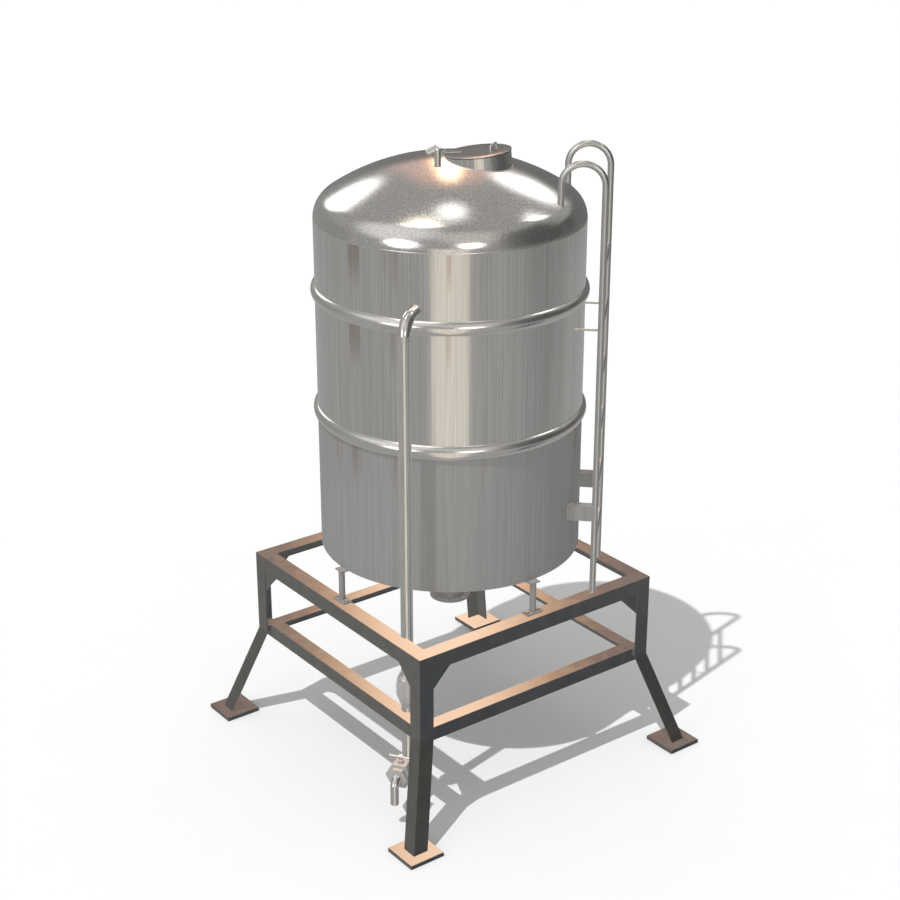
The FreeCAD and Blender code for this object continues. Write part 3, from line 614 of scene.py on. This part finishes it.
def grained_steel(name, grain_size, shades, contrast, roughness, relief_mm, metallic):
    finish, tree = new_finish(name)
    lines = grain(tree, *grain_size)
    first, second = (getattr(colours(), shade) for shade in shades)
    base = mixed(tree, ranged(tree, lines, *contrast, 0.0, 1.0), first, second)
    steel(tree, base, ranged(tree, lines, 0.3, 0.7, *roughness), lines, relief_mm, metallic)
    return finish


def soft_finish(name, dark, light, low, high, grain_mm):
    """A dielectric with a faint mottling: moulded rubber or turned plastic."""
    finish, tree = new_finish(name)
    mottle = grain(tree, grain_mm, grain_mm, detail=3)
    base = mixed(tree, mottle, linear(dark), linear(light))
    relief = add_node(tree, "Bump", {}, {"Height": mottle, "Distance": 0.05 * MM})
    shader = add_node(tree, "BsdfPrincipled", {},
                      {"Base Color": base, "Roughness": ranged(tree, mottle, 0.3, 0.7, low, high),
                       "IOR": 1.5, "Normal": relief.outputs["Normal"]})
    add_node(tree, "OutputMaterial", {}, {"Surface": shader.outputs["BSDF"]})
    return finish


FINISHES = {}


def finish_for(name):
    """Each finish is made once, when a piece first asks for it."""
    makers = {
        "sheet": rolled_sheet, "angle": pickled_angle,
        "rubber": lambda: soft_finish("black nitrile rubber", "#1b1b1c", "#242425", 0.55, 0.7, 3),
        "plastic": lambda: soft_finish("white PTFE", "#e4e2dc", "#efeeea", 0.35, 0.45, 2),
    }
    if name not in FINISHES:
        FINISHES[name] = grained_steel(*STEELS[name]) if name in STEELS else makers[name]()
    return FINISHES[name]


NODE_FINISHES = (
    ("angle", ("upper_rail", "lower_rail", "corner_post", "splayed_leg", "foot_plate",
               "corner_gussets", "lower_frame_packers", "tank_leg_bolts")),
    ("sheet", ("bottom_cone", "manway_collar", "strainer", "ladder_brackets", "tank_leg",
               "outlet")),
    ("cast", ("tap_body", "tap_end_cap")),
    ("tube", ("hinge_lugs", "lid_hinge_strap", "tap_lever")),
    ("satin", ("ladder_stay_rods",)),
    ("bolt", ("hinge_pin", "tap_stem", "tap_ball")),
    ("rubber", ("lid_gasket",)),
    ("plastic", ("tap_seats",)),
)


class TANK_OT_finishes(bpy.types.Operator):
    """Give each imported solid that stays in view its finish"""
    bl_idname = "tank.finishes"
    bl_label = "Finishes"

    def execute(self, context):
        for node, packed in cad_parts.items():
            kind = next((k for k, starts in NODE_FINISHES if node.startswith(starts)), "tube")
            packed.data.materials.clear()
            packed.data.materials.append(finish_for(kind))
            packed.visible_glossy = False
        return {"FINISHED"}


class TANK_OT_shell(bpy.types.Operator):
    """Build the shell, the top head with its manway opening, the stiffening rings and seams"""
    bl_idname = "tank.shell"
    bl_label = "Shell and head"

    def execute(self, context):
        s = sizes()
        low, high = SHELL_LOW.z, SHELL_HIGH.z
        inner = RADIUS - s.wall
        profile = [(RADIUS, low), (RADIUS, high), (inner, high), (inner, low)]
        add_piece("tank_shell_sheet", [(turned_grid(profile, SHELL_SIDES), True)], "sheet",
                  ["tank_shell"])
        add_piece("top_head_spun", [(head_grid(), True)], "head", ["top_head"])
        seams = [(ring_bead(RADIUS, high, 0, SHELL_SEAM), True)]
        for name in ("lower_stiffening_ring", "upper_stiffening_ring"):
            ring_low, ring_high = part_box(name)
            grid = turned_grid(ring_profile(ring_low, ring_high), SHELL_SIDES)
            add_piece(name + "_rolled", [(grid, True)], "tube", [name])
            for edge, tilt in ((ring_high.z, 30), (ring_low.z, -30)):
                seams.append((ring_bead(RADIUS, edge, tilt, RING_WELD), True))
        add_welds("shell_seam_welds", seams, finish="tube")
        return {"FINISHED"}


def head_grid():
    """The head's outside from the manway's opening to the rim, and its inside back. A column
    runs in plan from the opening's edge to the rim, at 1 - (1 - u)² of the way, which spreads
    the rows evenly over the knuckle."""
    s = sizes()
    count, rows = 288, 72
    directions = ring_angles(count)
    rim = circle(1, 0, directions)[:, :2]
    share = (1 - (1 - np.linspace(0, 1, rows)) ** 2)[:, None, None]
    opening = s.collar_radius - s.wall
    skins = []
    for thinner in (0.0, s.wall):
        edge = collar_on_head(opening, directions, thinner)[:, :2]
        plan = edge[None] + (rim * (RADIUS - thinner) - edge)[None] * share
        height = head_height(np.linalg.norm(plan, axis=-1), thinner)
        skins.append(np.concatenate([plan, height[..., None]], axis=-1))
    return np.concatenate([skins[0], skins[1][::-1]])


def ring_profile(low, high):
    """A strip of tube wall on the shell: two arcs about one centre, whose radius follows from
    half the height and the depth as (h² + d²) / 2d."""
    s = sizes()
    half = (high.z - low.z) / 2
    middle = (high.z + low.z) / 2
    depth = high.x - RADIUS
    curve = (half ** 2 + depth ** 2) / (2 * depth)
    centre = RADIUS + depth - curve
    arcs = []
    for radius in (curve, curve - s.ring_wall):
        reach = math.degrees(math.acos((RADIUS - centre) / radius))
        arcs.append(arc_points((centre, middle), radius, -reach, reach, 17))
    return np.concatenate([arcs[0], arcs[1][::-1]])


class TANK_OT_manway(bpy.types.Operator):
    """Build the manway's collar, lid and handle with their welds"""
    bl_idname = "tank.manway"
    bl_label = "Manway"

    def execute(self, context):
        s = sizes()
        directions = ring_angles(MANWAY_SIDES)
        local = directions - (s.manway_angle + math.pi)
        top = -s.lid_thickness - s.gasket
        inner = s.collar_radius - s.wall

        def ring(radius, height):
            return manway_place(circle(radius, height, local))

        rounded = 0.8 * MM
        collar = np.stack([
            collar_on_head(s.collar_radius, directions), ring(s.collar_radius, top - rounded),
            ring(s.collar_radius - rounded, top), ring(inner + rounded, top),
            ring(inner, top - rounded), collar_on_head(inner, directions)])
        add_piece("manway_collar_rolled", [(collar, True)], "sheet",
                  ["manway_collar"])

        directions = ring_angles(COLLAR_POINTS)
        line = collar_on_head(s.collar_radius, directions)
        bead = bead_grid(line, unit(circle(1, 1, directions)), OPENING_WELD, True)
        add_welds("manway_collar_weld", [(bead, True)])

        edge = 1.2 * MM
        low = -s.lid_thickness
        profile = np.concatenate([
            [(s.lid_radius * 0.5, low)],
            arc_points((s.lid_radius - edge, low + edge), edge, -90, 0, 5),
            arc_points((s.lid_radius - edge, -edge), edge, 0, 90, 5),
            [(s.lid_radius * 0.5, 0)]])
        lid = manway_place(turned_grid(profile, MANWAY_SIDES))
        add_piece("manway_lid_plate", [(lid, False)], "head", ["manway_lid"], LID)

        half = s.handle_span / 2
        corners = [(-s.handle_offset, -half, 0), (-s.handle_offset, -half, s.handle_rise),
                   (-s.handle_offset, half, s.handle_rise), (-s.handle_offset, half, 0)]
        path = bent_path(corners, s.handle_bend)
        rod = manway_place(ring_sweep(path, (1, 0, 0), s.handle_bar, 24))
        add_piece("lid_handle_rod", [(rod, False)], "tube", ["lid_handle"], LID)

        welds = []
        for y in (-half, half):
            foot = ring_bead(s.handle_bar, 0, 45, HANDLE_WELD) + [-s.handle_offset, y, 0]
            welds.append((manway_place(foot), True))
        strap_low, strap_high = s.lid_radius - STRAP_LENGTH, s.lid_radius - STRAP_INSET
        for y in (-STRAP_HALF_WIDTH, STRAP_HALF_WIDTH):
            weld = straight_bead((strap_low, y, 0), (strap_high, y, 0),
                                 (0, math.copysign(1, y), 1), STRAP_WELD)
            welds.append((manway_place(weld), False))
        add_welds("lid_welds", welds, LID)
        return {"FINISHED"}


class TANK_OT_vent(bpy.types.Operator):
    """Build the vent pipe with its segmented elbow, and its weld to the head"""
    bl_idname = "tank.vent"
    bl_label = "Vent"

    def execute(self, context):
        s = sizes()
        foot = circle(s.vent_distance, 0, s.vent_angle)
        level = float(head_height(s.vent_distance))
        corner = foot + [0, 0, level + s.vent_rise]
        aim = circle(1, 0, s.vent_heading)
        mouth = corner + aim * s.vent_run - [0, 0, s.vent_fall]
        path = np.array([foot + [0, 0, level], corner - [0, 0, s.vent_bevel],
                         corner + unit(mouth - corner) * s.vent_bevel, mouth])
        plane = np.cross(aim, (0, 0, 1))
        grid = tube_grid(path, plane, s.vent_radius, s.vent_wall)
        for row in (0, -1):
            grid[row, :, 2] = head_height(np.linalg.norm(grid[row, :, :2], axis=-1))
        add_piece("vent_pipe_mitred", [(grid, True)], "tube", ["vent_pipe"])

        normals, stretch = path_frames(path, plane)
        welds = [(head_bead(foot, s.vent_radius), True)]
        a = ring_angles(MITRE_POINTS)
        for row in (1, 2):
            out = normals[row] * stretch[row] * np.cos(a)[:, None] + plane * np.sin(a)[:, None]
            line = path[row] + out * s.vent_radius
            welds.append((bead_grid(line, unit(out), MITRE_WELD, True), True))
        add_welds("vent_welds", welds)
        return {"FINISHED"}


def head_bead(foot, radius):
    """A weld round an upright pipe where it stands on the head, sampled every 1.5 mm."""
    a = ring_angles(max(48, int(2 * math.pi * radius / (1.5 * MM))))
    x, y = foot[0] + radius * np.cos(a), foot[1] + radius * np.sin(a)
    line = np.stack([x, y, head_height(np.hypot(x, y))], axis=-1)
    return bead_grid(line, unit(circle(1, 0.8, a)), STANDING_WELD, True)


class TANK_OT_ladder(bpy.types.Operator):
    """Build the ladder's stiles with their hooks, its rungs and their welds"""
    bl_idname = "tank.ladder"
    bl_label = "Ladder"

    def execute(self, context):
        p = pipes()
        base = FRAME_HIGH.z
        top = base + p.hook_rise
        half = math.sqrt(2) * (FRAME_HIGH.x - p.ladder_inset) - p.ladder_distance
        inner_x = p.ladder_distance - 2 * p.hook_radius
        welds = []
        for name, y in (("front", -half), ("back", half)):
            corners = [(p.ladder_distance, y, base), (p.ladder_distance, y, top),
                       (inner_x, y, top), (inner_x, y, SHELL_HIGH.z)]
            path = bent_path(corners, p.hook_radius, arc_steps=28)
            grid = ladder_place(tube_grid(path, (0, 1, 0), p.stile_radius, STILE_WALL,
                                          STILE_SIDES))
            middle = len(path)
            for row in (middle - 1, middle):
                grid[row, :, 2] = head_height(np.linalg.norm(grid[row, :, :2], axis=-1))
            add_piece("ladder_stile_" + name + "_tube", [(grid, True)], "satin",
                      ["ladder_stile_" + name])
            foot = ladder_place([inner_x, y, 0])
            welds.append((head_bead(foot, p.stile_radius), True))
            foot = ladder_place([p.ladder_distance, y, 0])
            welds.append((ring_bead(p.stile_radius, base, 40, STILE_WELD) + foot, True))
        rungs = []
        for height in rung_heights():
            start, end = -half + p.stile_radius - STILE_WALL, half - p.stile_radius + STILE_WALL
            path = np.array([(p.ladder_distance, start, height), (p.ladder_distance, end, height)])
            rung = tube_grid(path, (0, 0, 1), p.rung_radius, RUNG_WALL, RUNG_SIDES)
            rungs.append((ladder_place(rung), True))
            for y in (-half, half):
                welds.append((rung_bead(y, height), True))
        add_piece("ladder_rungs_tubes", rungs, "satin", ["ladder_rungs"])
        add_welds("ladder_welds", welds)
        add_welds("ladder_bracket_welds", bracket_beads(half))
        return {"FINISHED"}


def rung_heights():
    """The rungs' heights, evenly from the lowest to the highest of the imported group."""
    low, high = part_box("ladder_rungs")
    radius = pipes().rung_radius
    return np.linspace(low.z + radius, high.z - radius, RUNGS)


def rung_bead(y, height):
    """A weld round a rung where it meets a stile: the stile's wall bulges towards it by
    sqrt(R² - u²), with u the sideways place on the rung's ring."""
    p = pipes()
    a = ring_angles(RUNG_POINTS)
    x, z = p.rung_radius * np.cos(a), p.rung_radius * np.sin(a)
    inwards = -math.copysign(1, y)
    bulge = np.sqrt(p.stile_radius ** 2 - x ** 2)
    line = np.stack([p.ladder_distance + x, y + inwards * bulge, height + z], axis=-1)
    out = unit(np.stack([np.cos(a), np.full_like(a, inwards * 0.6), np.sin(a)], axis=-1))
    return ladder_place(bead_grid(line, out, RUNG_WELD, True))


def bracket_beads(half):
    """Welds down both sides, and over and under, where each box bracket meets the shell."""
    low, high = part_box("ladder_brackets")
    beads = []
    for y in (-half, half):
        left, right = y - BRACKET_WIDTH / 2, y + BRACKET_WIDTH / 2
        for at, side in ((left, -1), (right, 1)):
            x = math.sqrt(RADIUS ** 2 - at ** 2)
            weld = straight_bead((x, at, low.z), (x, at, high.z), (0.6, side, 0), STILE_WELD)
            beads.append((ladder_place(weld), False))
        for z, rise in ((low.z, -1), (high.z, 1)):
            along = np.linspace(left, right, 40)
            x = np.sqrt(RADIUS ** 2 - along ** 2)
            line = np.stack([x, along, np.full_like(along, z)], axis=-1)
            out = np.broadcast_to(unit((0.6, 0, rise)), line.shape)
            beads.append((ladder_place(bead_grid(line, out, STILE_WELD, False)), False))
    return beads


class TANK_OT_riser(bpy.types.Operator):
    """Build the riser pipe with its elbow, strainer and foot bend, and their welds"""
    bl_idname = "tank.riser"
    bl_label = "Riser"

    def execute(self, context):
        p, s = pipes(), sizes()
        elbow_low, elbow_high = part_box("riser_elbow")
        nozzle = elbow_high.z - p.riser_radius
        turn = p.riser_heading - p.riser_angle
        aside = p.riser_distance * math.sin(turn)
        gap = p.riser_distance * math.cos(turn) - math.sqrt((RADIUS - s.wall) ** 2 - aside ** 2)
        path = bent_path([(0, 0, elbow_low.z), (0, 0, nozzle), (-gap - p.nozzle_reach, 0, nozzle)],
                         p.elbow_radius, arc_steps=28)
        self.tube("riser_elbow_bent", path, "riser_elbow")
        cap_low, cap_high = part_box("strainer_cap")
        path = np.array([(0, 0, cap_high.z), (0, 0, elbow_low.z)])
        self.tube("riser_pipe_upper_drawn", path, "riser_pipe_upper")
        body_low, body_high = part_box("strainer_body")
        path = bent_path([(0, 0, body_low.z), (0, 0, p.tap_height), (p.tap_back, 0, p.tap_height)],
                         p.foot_bend, arc_steps=24)
        self.tube("riser_pipe_lower_bent", path, "riser_pipe_lower")

        wall = STRAINER_WALL
        bore = p.riser_radius - p.riser_wall
        cap = [(p.riser_radius, cap_high.z), (p.shoulder, cap_low.z),
               (p.shoulder - wall, cap_low.z), (bore, cap_high.z)]
        body = [(p.shoulder, body_high.z), (p.waist, p.waist_height),
                (p.riser_radius, body_low.z), (bore, body_low.z),
                (p.waist - wall, p.waist_height), (p.shoulder - wall, body_high.z)]
        for name, profile in (("strainer_cap", cap), ("strainer_body", body)):
            grid = riser_place(turned_grid(profile, STRAINER_SIDES))
            add_piece(name + "_turned", [(grid, True)], "cast", [name])

        seams = ((p.riser_radius, elbow_low.z, PIPE_SEAM), (p.riser_radius, cap_high.z, END_SEAM),
                 (p.shoulder, cap_low.z, PIPE_SEAM), (p.riser_radius, body_low.z, END_SEAM))
        welds = [(riser_place(ring_bead(radius, height, 0, weld)), True)
                 for radius, height, weld in seams]
        a = ring_angles(NOZZLE_POINTS)
        y, z = p.riser_radius * np.cos(a), p.riser_radius * np.sin(a)
        x = -(p.riser_distance * math.cos(turn) - np.sqrt(RADIUS ** 2 - (aside + y) ** 2))
        line = np.stack([x, y, nozzle + z], axis=-1)
        out = unit(np.stack([np.full_like(a, 0.8), np.cos(a), np.sin(a)], axis=-1))
        welds.append((riser_place(bead_grid(line, out, OPENING_WELD, True)), True))
        add_welds("riser_welds", welds)
        return {"FINISHED"}

    def tube(self, name, path, node):
        p = pipes()
        grid = riser_place(tube_grid(path, (0, 1, 0), p.riser_radius, p.riser_wall))
        add_piece(name, [(grid, True)], "tube", [node])


class TANK_OT_spout(bpy.types.Operator):
    """Build the tap's bent spout"""
    bl_idname = "tank.spout"
    bl_label = "Spout"

    def execute(self, context):
        p = pipes()
        x = p.tap_front + p.spout_bend
        corners = [(p.tap_front, 0, p.tap_height), (x, 0, p.tap_height), (x, 0, p.spout_end)]
        path = bent_path(corners, p.spout_bend, arc_steps=20)
        grid = riser_place(tube_grid(path, (0, 1, 0), p.spout_radius, SPOUT_WALL))
        add_piece("tap_spout_bent", [(grid, True)], "tube", ["tap_spout"])
        return {"FINISHED"}


class TANK_OT_stage(bpy.types.Operator):
    """Lay the floor, hang the lights and set the camera"""
    bl_idname = "tank.stage"
    bl_label = "Stage"

    def execute(self, context):
        lay_floor()
        light_studio()
        key = bpy.data.objects.new("key_sun", bpy.data.lights.new("key_sun", "SUN"))
        key.data.energy = SUN_ENERGY
        key.data.angle = SUN_WIDTH
        key.rotation_euler = SUN_HEADING.to_track_quat("-Z", "Y").to_euler()
        key.visible_glossy = False
        link(key)

        view = bpy.data.cameras.new("camera")
        view.sensor_width = SENSOR
        view.lens = LENS
        view.clip_end = CAMERA_FAR
        camera = bpy.data.objects.new("camera", view)
        camera.location = CAMERA_AT
        aim = Vector(CAMERA_AIM) - camera.location
        camera.rotation_euler = aim.to_track_quat("-Z", "Y").to_euler()
        link(camera)
        bpy.context.scene.camera = camera
        bpy.context.scene.view_settings.view_transform = "Standard"
        return {"FINISHED"}


def lay_floor():
    """A plain pale floor. It isn't seen in the metal, as the photograph's isn't."""
    signs = ((-1, -1), (1, -1), (1, 1), (-1, 1))
    corners = [(x * FLOOR_REACH, y * FLOOR_REACH, 0) for x, y in signs]
    mesh = bpy.data.meshes.new("floor")
    mesh.from_pydata(corners, [], [(0, 1, 2, 3)])
    floor = bpy.data.objects.new("floor", mesh)
    link(floor)
    paint, tree = new_finish("matt white floor")
    mottle = grain(tree, 400, 400, detail=2)
    share = ranged(tree, mottle, 0.3, 0.7, 0.0, 0.15)
    base = mixed(tree, share, colours().floor, colours().floor_dull)
    shader = add_node(tree, "BsdfDiffuse", {}, {"Color": base})
    add_node(tree, "OutputMaterial", {}, {"Surface": shader.outputs[0]})
    mesh.materials.append(paint)
    floor.visible_glossy = False


def heading(azimuth, elevation):
    """A unit vector from two angles in degrees."""
    a, e = math.radians(azimuth), math.radians(elevation)
    return (math.cos(a) * math.cos(e), math.sin(a) * math.cos(e), math.sin(e))


# The studio's soft lamps: azimuth, elevation, inner and outer half width, all in degrees,
# strength and colour. A negative strength is a black flag, which takes light away.
LAMPS = (
    (84, 26, 8, 14, 1.9, "#ffffff"),
    (30, 33, 6, 11, 1.9, "#ffffff"),
    (51, 73, 3, 7, 1.8, "#ffffff"),
    (358, 48, 4, 8, 2.6, "#ffffff"),
    (122, 77, 5, 11, 2.8, "#fff2e2"),
    (192, 13, 9, 17, 2.6, "#ffffff"),
    (250, 14, 7, 12, 2.6, "#ffffff"),
    (172, 48, 12, 38, 0.5, "#ffffff"),
    (252, 42, 8, 32, 0.26, "#fff6ea"),
    (320, 10, 10, 45, -0.14, "#ffffff"),
)
# Upright panels: azimuth, half width and soft edge in degrees, lowest and highest rise (the
# sine of the elevation) and its soft edge, strength and colour. Negative ones are flags too.
PANELS = (
    (233, 14, 3, -1.3, 0.06, 0.06, 0.5, "#fff0da"),
    (53.2, 0.8, 2.6, 0.38, 0.72, 0.06, 1.5, "#ffffff"),
    (53.2, 1.2, 4, 0.36, 0.74, 0.08, 2.5, "#ffc07a"),
    (53.2, 8, 8, 0.34, 0.76, 0.1, 0.36, "#ffb293"),
    (22, 22, 34, -0.258, 0.34, 0.015, -0.23, "#ffffff"),
    (305, 22, 16, -0.2, 0.7, 0.04, -0.15, "#ffffff"),
    (100, 30, 20, -0.258, 0.25, 0.015, -0.07, "#ffffff"),
    (310, 9, 6, -0.8, -0.45, 0.02, -0.26, "#fff4e2"),
)


def light_studio():
    """A dim grey room with soft lamps. The metal mirrors the sum of all lamps, matt surfaces
    are lit by a plain grey sky, and the camera sees plain white behind the object."""
    world = bpy.data.worlds.new("studio")
    bpy.context.scene.world = world
    world.use_nodes = True
    tree = world.node_tree
    tree.nodes.clear()
    direction = add_node(tree, "TexCoord").outputs["Generated"]
    parts = add_node(tree, "SeparateXYZ", {}, {0: direction})
    grey = dict.fromkeys(range(3), ROOM_GREY)
    total = add_node(tree, "CombineXYZ", {}, grey).outputs[0]
    for azimuth, elevation, inner, outer, strength, tone in LAMPS:
        facing = vector_maths(tree, "DOT_PRODUCT", direction, heading(azimuth, elevation))
        shine = glow(tree, facing, inner, outer, strength)
        total = lit(tree, total, shine, tone)
    flat = add_node(tree, "CombineXYZ", {}, {0: parts.outputs["X"], 1: parts.outputs["Y"]})
    level = vector_maths(tree, "NORMALIZE", flat.outputs[0])
    for azimuth, half, edge, low, high, fade, strength, tone in PANELS:
        facing = vector_maths(tree, "DOT_PRODUCT", level, heading(azimuth, 0))
        shine = glow(tree, facing, half, half + edge, strength)
        over = ranged(tree, parts.outputs["Z"], low - fade, low + fade, 0.0, 1.0, True)
        under = ranged(tree, parts.outputs["Z"], high - fade, high + fade, 1.0, 0.0, True)
        shine = maths(tree, "MULTIPLY", maths(tree, "MULTIPLY", shine, over), under)
        total = lit(tree, total, shine, tone)
    total = vector_maths(tree, "MAXIMUM", total, (0, 0, 0))

    ray = add_node(tree, "LightPath")
    sky = (SKY_GREY, SKY_GREY, SKY_GREY, 1)
    seen = mixed(tree, ray.outputs["Is Diffuse Ray"], total, sky)
    seen = mixed(tree, ray.outputs["Is Camera Ray"], seen, (1, 1, 1, 1))
    back = add_node(tree, "Background", {}, {"Color": seen, "Strength": 1.0})
    add_node(tree, "OutputWorld", {}, {"Surface": back.outputs[0]})


def glow(tree, facing, inner, outer, strength):
    """A lamp's shine: full within one angle of its middle, and none beyond the other."""
    return ranged(tree, facing, math.cos(math.radians(outer)), math.cos(math.radians(inner)),
                  0.0, strength, True)


def lit(tree, total, shine, tone):
    """The light so far, and a lamp's colour times its shine."""
    light = add_node(tree, "VectorMath", {"operation": "SCALE"},
                     {0: linear(tone)[:3], "Scale": shine})
    return vector_maths(tree, "ADD", total, light.outputs[0])


OPERATORS = (TANK_OT_stage, TANK_OT_finishes, TANK_OT_shell, TANK_OT_manway, TANK_OT_vent,
             TANK_OT_ladder, TANK_OT_riser, TANK_OT_spout)


class TANK_PT_panel(bpy.types.Panel):
    """The sidebar's list of what the add-on builds"""
    bl_idname = "TANK_PT_panel"
    bl_label = "Stainless steel tank"
    bl_space_type = "VIEW_3D"
    bl_region_type = "UI"
    bl_category = "Tank"

    def draw(self, context):
        for group in (sizes(), pipes(), colours()):
            box = self.layout.box()
            for name in group.__annotations__:
                box.prop(group, name)
        for operator in OPERATORS:
            self.layout.operator(operator.bl_idname)


GROUPS = {"tank_sizes": TankSizes, "pipe_sizes": PipeSizes, "finish_colours": FinishColours}
CLASSES = (*GROUPS.values(), *OPERATORS, TANK_PT_panel)


def register():
    for cls in CLASSES:
        bpy.utils.register_class(cls)
    for name, group in GROUPS.items():
        setattr(bpy.types.Scene, name, bpy.props.PointerProperty(type=group))


def unregister():
    for name in GROUPS:
        delattr(bpy.types.Scene, name)
    for cls in reversed(CLASSES):
        bpy.utils.unregister_class(cls)


def main():
    register()
    for operator in OPERATORS:
        group, name = operator.bl_idname.split(".")
        getattr(getattr(bpy.ops, group), name)()


if __name__ == "__main__":
    main()
